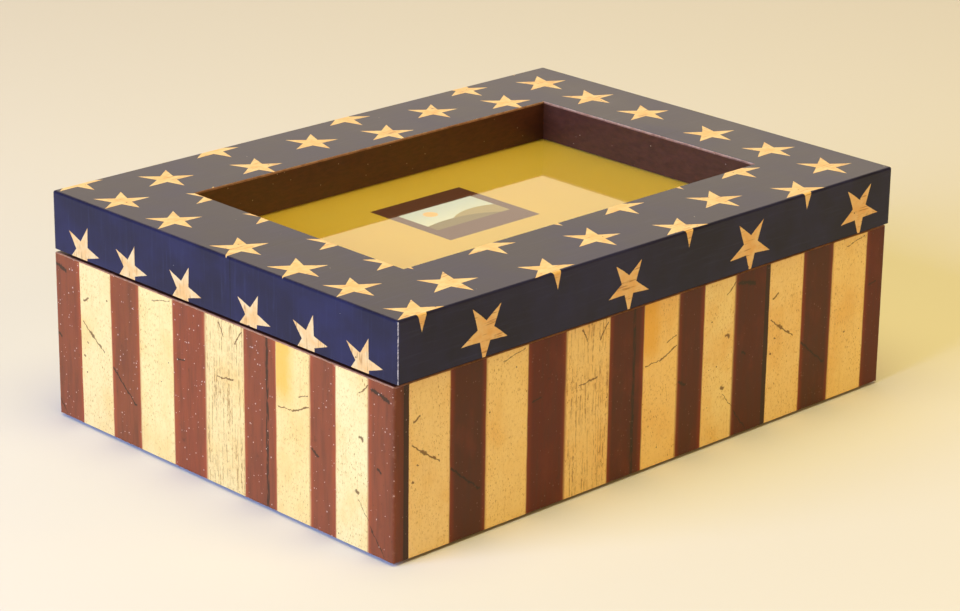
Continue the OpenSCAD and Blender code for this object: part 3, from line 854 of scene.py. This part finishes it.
star_sheet = bmesh.new()
bmesh.ops.create_cube(star_sheet, size=1.0)
bmesh.ops.scale(star_sheet, vec=lid_high - lid_low, verts=star_sheet.verts)
bmesh.ops.translate(star_sheet, vec=lid_middle, verts=star_sheet.verts)
star_sheet.normal_update()
underside = [face for face in star_sheet.faces if face.normal.z < -0.5]
bmesh.ops.delete(star_sheet, geom=underside, context="FACES_ONLY")
folds = [edge for edge in star_sheet.edges if max(end.co.z for end in edge.verts) > lid_middle.z]
worn_layer = star_sheet.faces.layers.float.new("worn")
rounded = bmesh.ops.bevel(star_sheet, geom=folds, offset=fold_round, offset_type="OFFSET",
                          segments=3, profile=0.5, affect="EDGES", material=-1)
star_sheet.normal_update()
# Only the middle of each upright corner is rubbed through to the white of the paper
for face in rounded["faces"]:
    sideways = Vector((abs(face.normal.x), abs(face.normal.y)))
    face[worn_layer] = 1.0 if min(sideways) > 0.6 else 0.0


def slice_sheet(spot, normal):
    """Cut an edge loop into the sheet along a plane."""
    bmesh.ops.bisect_plane(star_sheet, geom=star_sheet.verts[:] + star_sheet.edges[:]
                           + star_sheet.faces[:], plane_co=spot, plane_no=normal)


for window_corner in (window_low, window_high):
    slice_sheet(window_corner, (1, 0, 0))
    slice_sheet(window_corner, (0, 1, 0))
opening = []
for face in star_sheet.faces:
    spot = face.calc_center_median()
    if window_low.x < spot.x < window_high.x and window_low.y < spot.y < window_high.y:
        opening.append(face)
bmesh.ops.delete(star_sheet, geom=opening, context="FACES")

# Cut the sheet into cells that each hold one star
width_mm = (lid_high.x - lid_low.x) / MM
depth_mm = (lid_high.y - lid_low.y) / MM
for (left, _), (right, _) in zip(star_columns, star_columns[1:]):
    border = (left + right) / 2
    over = max(-border, border - width_mm, 0.0)
    if over > 0:
        slice_sheet((0, 0, lid_high.z - over * MM), (0, 0, 1))
    else:
        slice_sheet((lid_low.x + border * MM, 0, 0), (1, 0, 0))
row_borders = sorted({(upper + lower) / 2 for _, rows in star_columns
                      for upper, lower in zip(rows, rows[1:])})
for border in row_borders:
    over = max(-border, border - depth_mm, 0.0)
    if over > 0:
        slice_sheet((0, 0, lid_high.z - over * MM), (0, 0, 1))
    else:
        slice_sheet((0, lid_high.y - border * MM, 0), (0, 1, 0))

sheet_layer = star_sheet.loops.layers.uv.new("sheet")
star_layer = star_sheet.loops.layers.uv.new("star")
star_sheet.normal_update()
for face in star_sheet.faces:
    fold = fold_side(face)
    right, down = sheet_place(face.calc_center_median(), fold)
    column, rows = min(star_columns, key=lambda item: abs(item[0] - right))
    row = nearest(rows, down)
    star_right = column + moved_aside.get((column, row), 0.0)
    # Hand cutting turned and sized each star a little differently
    angle = star_turn * math.sin(column * 1.7 + row * 0.9)
    size = 1 + star_swell * math.sin(column * 0.6 + row * 2.3)
    if row > depth_mm:
        size *= front_star_size
    elif column < 0 or column > width_mm:
        size *= side_star_size
    for loop in face.loops:
        right, down = sheet_place(loop.vert.co, fold)
        loop[sheet_layer].uv = (right * MM, down * MM)
        local = Matrix.Rotation(angle, 2) @ Vector((right - star_right, down - row)) / size
        loop[star_layer].uv = (local.x * MM, local.y * MM)

navy_dark, navy = (0.012, 0.011, 0.031, 1), (0.018, 0.018, 0.064, 1)
brushed_blue = (0.040, 0.044, 0.110, 1)
crack_grey, joint_black = (0.09, 0.075, 0.11, 1), (0.006, 0.006, 0.012, 1)
star_cream, star_honey = (0.79, 0.55, 0.27, 1), (0.77, 0.45, 0.17, 1)
star_amber = (0.72, 0.36, 0.10, 1)
star_grain, knot_brown = (0.36, 0.15, 0.04, 1), (0.10, 0.045, 0.015, 1)
pale_dust, paper_white = (0.55, 0.50, 0.45, 1), (0.50, 0.44, 0.42, 1)
joint_at, joint_half_w = 81.6, 0.22
starred_print, tree, shader = new_material("starred_print", 0.3)
sheet_uv = add_node(tree, "UVMap", uv_map="sheet").outputs[0]
flat = add_node(tree, "VectorMath", {0: sheet_uv, "Scale": 1 / MM}, operation="SCALE").outputs[0]
star_uv = add_node(tree, "UVMap", uv_map="star").outputs[0]
local = add_node(tree, "VectorMath", {0: star_uv, "Scale": 1 / MM}, operation="SCALE").outputs[0]
hand = add_node(tree, "TexNoise", {"Vector": flat, "Scale": 0.05, "Detail": 1.0}).outputs["Color"]
hand = add_node(tree, "VectorMath", {0: hand, 1: (0.5, 0.5, 0.5)}, operation="SUBTRACT").outputs[0]
hand = add_node(tree, "VectorMath", {0: hand, "Scale": 1.6}, operation="SCALE").outputs[0]
shaped = add_node(tree, "VectorMath", {0: local, 1: hand}, operation="ADD").outputs[0]
axes = add_node(tree, "SeparateXYZ", {0: shaped})
squares = [calc(tree, "MULTIPLY", axis, axis) for axis in axes.outputs[:2]]
reach = calc(tree, "SQRT", calc(tree, "ADD", *squares))
bearing = calc(tree, "ARCTAN2", axes.outputs[0], axes.outputs[1])
folded = calc(tree, "PINGPONG", bearing, math.pi / 5)
# Depth inside the straight edge that runs from a tip to its neighbouring notch
notch = Vector((star_notch_mm * math.cos(math.pi / 5), star_notch_mm * math.sin(math.pi / 5)))
edge_normal = Vector((notch.y, star_tip_mm - notch.x)).normalized()
lengthwise = calc(tree, "MULTIPLY", calc(tree, "COSINE", folded), edge_normal.x)
sideways = calc(tree, "MULTIPLY", calc(tree, "SINE", folded), edge_normal.y)
side_reach = calc(tree, "MULTIPLY", reach, calc(tree, "ADD", lengthwise, sideways))
star_depth = calc(tree, "SUBTRACT", edge_normal.x * star_tip_mm, side_reach)
ragged = calc(tree, "SUBTRACT", grain(tree, flat, (1.0, 1.0, 1), 3.0), 0.5)
ragged = calc(tree, "MULTIPLY", ragged, 0.25)
in_star = rise(tree, calc(tree, "ADD", star_depth, ragged), -0.06, 0.06)

# Navy ground: brushed along the sheet, with paler rubs and specks
strokes_along = grain(tree, flat, (0.06, 0.9, 1), 4.0, 0.6)
washes = grain(tree, flat, (0.04, 0.03, 1), 4.0)
field = mixed(tree, rise(tree, washes, 0.35, 0.7), navy_dark, navy)
field = glazed(tree, field, brushed_blue, rise(tree, strokes_along, 0.5, 0.78), 0.28)
old_cracks = rise(tree, grain(tree, flat, (0.35, 0.35, 1), 6.0, 0.75), 0.66, 0.70)
field = glazed(tree, field, crack_grey, old_cracks, 0.2)
down_sheet = add_node(tree, "SeparateXYZ", {0: flat}).outputs[1]
board_joint = calc(tree, "COMPARE", down_sheet, joint_at, joint_half_w)
field = glazed(tree, field, joint_black, board_joint, 0.6)
# Cream stars: honey-coloured clouds, dark grain lines and tiny knots
honey = grain(tree, flat, (0.22, 0.22, 1), 4.0, 0.65)
lines = rise(tree, grain(tree, flat, (0.10, 1.6, 1), 2.0, 0.5), 0.54, 0.64)
faint = rise(tree, grain(tree, flat, (0.25, 0.25, 1), 2.0), 0.42, 0.60)
star = mixed(tree, rise(tree, honey, 0.35, 0.65), star_cream, star_honey)
star = glazed(tree, star, star_amber, rise(tree, star_depth, 0.2, 2.4),
              calc(tree, "MULTIPLY", honey, 0.6))
star = glazed(tree, star, star_grain, calc(tree, "MULTIPLY", lines, faint), 0.7)
knots = specks(tree, flat, 3.0, 0.42, 0.45)
star = glazed(tree, star, knot_brown, knots, 0.8)
colour = mixed(tree, in_star, field, star)
dust = specks(tree, flat, 4.5, 0.24, 0.35)
colour = glazed(tree, colour, pale_dust, dust, 0.6)
rubbed = add_node(tree, "Attribute", attribute_name="worn").outputs["Fac"]
chipped = rise(tree, grain(tree, flat, (0.5, 0.5, 1), 5.0, 0.7), 0.36, 0.60)
colour = glazed(tree, colour, paper_white, rubbed, chipped)
tree.links.new(colour, shader.inputs["Base Color"])
sheen = add_node(tree, "MapRange", {"Value": washes, "To Min": 0.24, "To Max": 0.40})
tree.links.new(sheen.outputs[0], shader.inputs["Roughness"])
shader.inputs["Specular IOR Level"].default_value = 0.21
relief = calc(tree, "ADD", strokes_along, calc(tree, "MULTIPLY", in_star, 0.3))
bumped(tree, shader, relief, 0.03, 0.35)

lid_paper = keep(star_sheet, "starred_paper_sheet", starred_print, "lid", "starred_paper",
                 "lid_star_paper")
lid_paper.data.materials.append(cut_paper)
thicken(lid_paper, paper_t)

# ---------------------------------------------------------------- picture, glass and backing
# A yellow insert card under float glass, with a plain landscape in a brown border, and a
# fibreboard back that the turn buttons press home.

card_yellow, card_bright = (0.72, 0.50, 0.075, 1), (0.78, 0.55, 0.09, 1)
card_tooth, border_brown = (0.40, 0.26, 0.03, 1), (0.145, 0.045, 0.030, 1)
sky_low, sky_high = (0.78, 0.75, 0.68, 1), (0.60, 0.63, 0.66, 1)
sun_orange = (0.86, 0.55, 0.18, 1)
far_green, near_green = (0.46, 0.34, 0.12, 1), (0.27, 0.19, 0.06, 1)
card_round, pane_round, back_round = 0.00008, 0.00025, 0.0004
insert_card, tree, shader = new_material("insert_card", 0.5)
place = object_mm(tree)
axes = add_node(tree, "SeparateXYZ", {0: place})
tooth = grain(tree, place, (1.4, 1.4, 1.4), 3.0)
tint = grain(tree, place, (0.03, 0.03, 0.03), 3.0)
colour = mixed(tree, tint, card_yellow, card_bright)
colour = glazed(tree, colour, card_tooth, tooth, 0.12)


def inside(across, up, half_w, half_h):
    """1 inside a rectangle centred on (across, up), in mm."""
    return calc(tree, "MULTIPLY", calc(tree, "COMPARE", axes.outputs[0], across, half_w),
                calc(tree, "COMPARE", axes.outputs[1], up, half_h))


def disc(across, up, radius, flat=1.0):
    """1 inside a disc or a flattened disc, in mm."""
    offset = add_node(tree, "VectorMath", {0: place, 1: (across, up, 0)}, operation="SUBTRACT")
    shaped = add_node(tree, "VectorMath", {0: offset.outputs[0], 1: (1, 1 / flat, 0)},
                      operation="MULTIPLY")
    length = add_node(tree, "VectorMath", {0: shaped.outputs[0]}, operation="LENGTH")
    return calc(tree, "LESS_THAN", length.outputs["Value"], radius)


label_x, label_y, label_half_w, label_half_h = -0.8, 9.2, 18.6, 17.8
view_y, view_half_w, view_half_h = label_y + 0.3, 15.0, 8.8
label = inside(label_x, label_y, label_half_w, label_half_h)
colour = mixed(tree, label, colour, border_brown)
in_view = inside(label_x, view_y, view_half_w, view_half_h)
sky = mixed(tree, rise(tree, axes.outputs[1], view_y - view_half_h, view_y + view_half_h),
            sky_low, sky_high)
sun = disc(label_x - 6.5, view_y + 3.6, 2.3)
sky = mixed(tree, sun, sky, sun_orange)
far_hill = disc(label_x + 7.0, view_y - 11.0, 14.5, 0.75)
sky = mixed(tree, far_hill, sky, far_green)
near_hill = disc(label_x - 6.0, view_y - 17.0, 22.0, 0.62)
sky = mixed(tree, near_hill, sky, near_green)
colour = mixed(tree, in_view, colour, sky)
tree.links.new(colour, shader.inputs["Base Color"])
bumped(tree, shader, tooth, 0.02, 0.3)
keep(eased_block(*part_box("picture_card"), card_round, 1), "yellow_insert_card", insert_card, "lid",
     "insert_card", "picture_card")

clear_glass, tree, shader = new_material("float_glass", 0.02)
shader.inputs["Base Color"].default_value = (0.96, 0.985, 0.975, 1)
shader.inputs["Transmission Weight"].default_value = 1.0
shader.inputs["IOR"].default_value = 1.52
place = object_mm(tree)
smudges = grain(tree, place, (0.05, 0.05, 0.05), 4.0)
gloss = add_node(tree, "MapRange", {"Value": smudges, "To Min": 0.0, "To Max": 0.05})
tree.links.new(gloss.outputs[0], shader.inputs["Roughness"])
light_path = add_node(tree, "LightPath")
see_through = add_node(tree, "BsdfTransparent", {"Color": (0.93, 0.95, 0.94, 1)})
either = add_node(tree, "MixShader", {0: light_path.outputs["Is Shadow Ray"],
                                      1: shader.outputs[0], 2: see_through.outputs[0]})
tree.links.new(either.outputs[0], tree.nodes["Material Output"].inputs["Surface"])
keep(eased_block(glass_low, glass_high, pane_round), "float_glass_pane", clear_glass, "lid",
     "glass", "glass_pane")

keep(eased_block(*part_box("backing_board"), back_round), "fibreboard_back", fibreboard, "lid",
     "bare_board", "backing_board")

# ---------------------------------------------------------------- turn buttons
# Four stamped brass arms, each on a round-head screw, that swing off the backing board
# to let the picture out.

for corner in ("front_left", "front_right", "back_left", "back_right"):
    finish_node("turn_button_" + corner, hinge_brass)
screws_low, screws_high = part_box("turn_button_screws")
button_head_r, button_head_h = 0.0020, 0.0009
button_shank_r, button_screw_length = 0.0010, 0.0100
button_screws = bmesh.new()
for head_x in (screws_low.x + button_head_r, screws_high.x - button_head_r):
    for head_y in (screws_low.y + button_head_r, screws_high.y - button_head_r):
        head = Vector((head_x, head_y, screws_low.z))
        merge_into(button_screws, slotted_screw(button_head_r, button_head_h, button_shank_r,
                                                button_screw_length, head, 1, False))
keep(button_screws, "turn_button_screws_slotted", hinge_brass, "lid", "brass", "turn_button_screws")
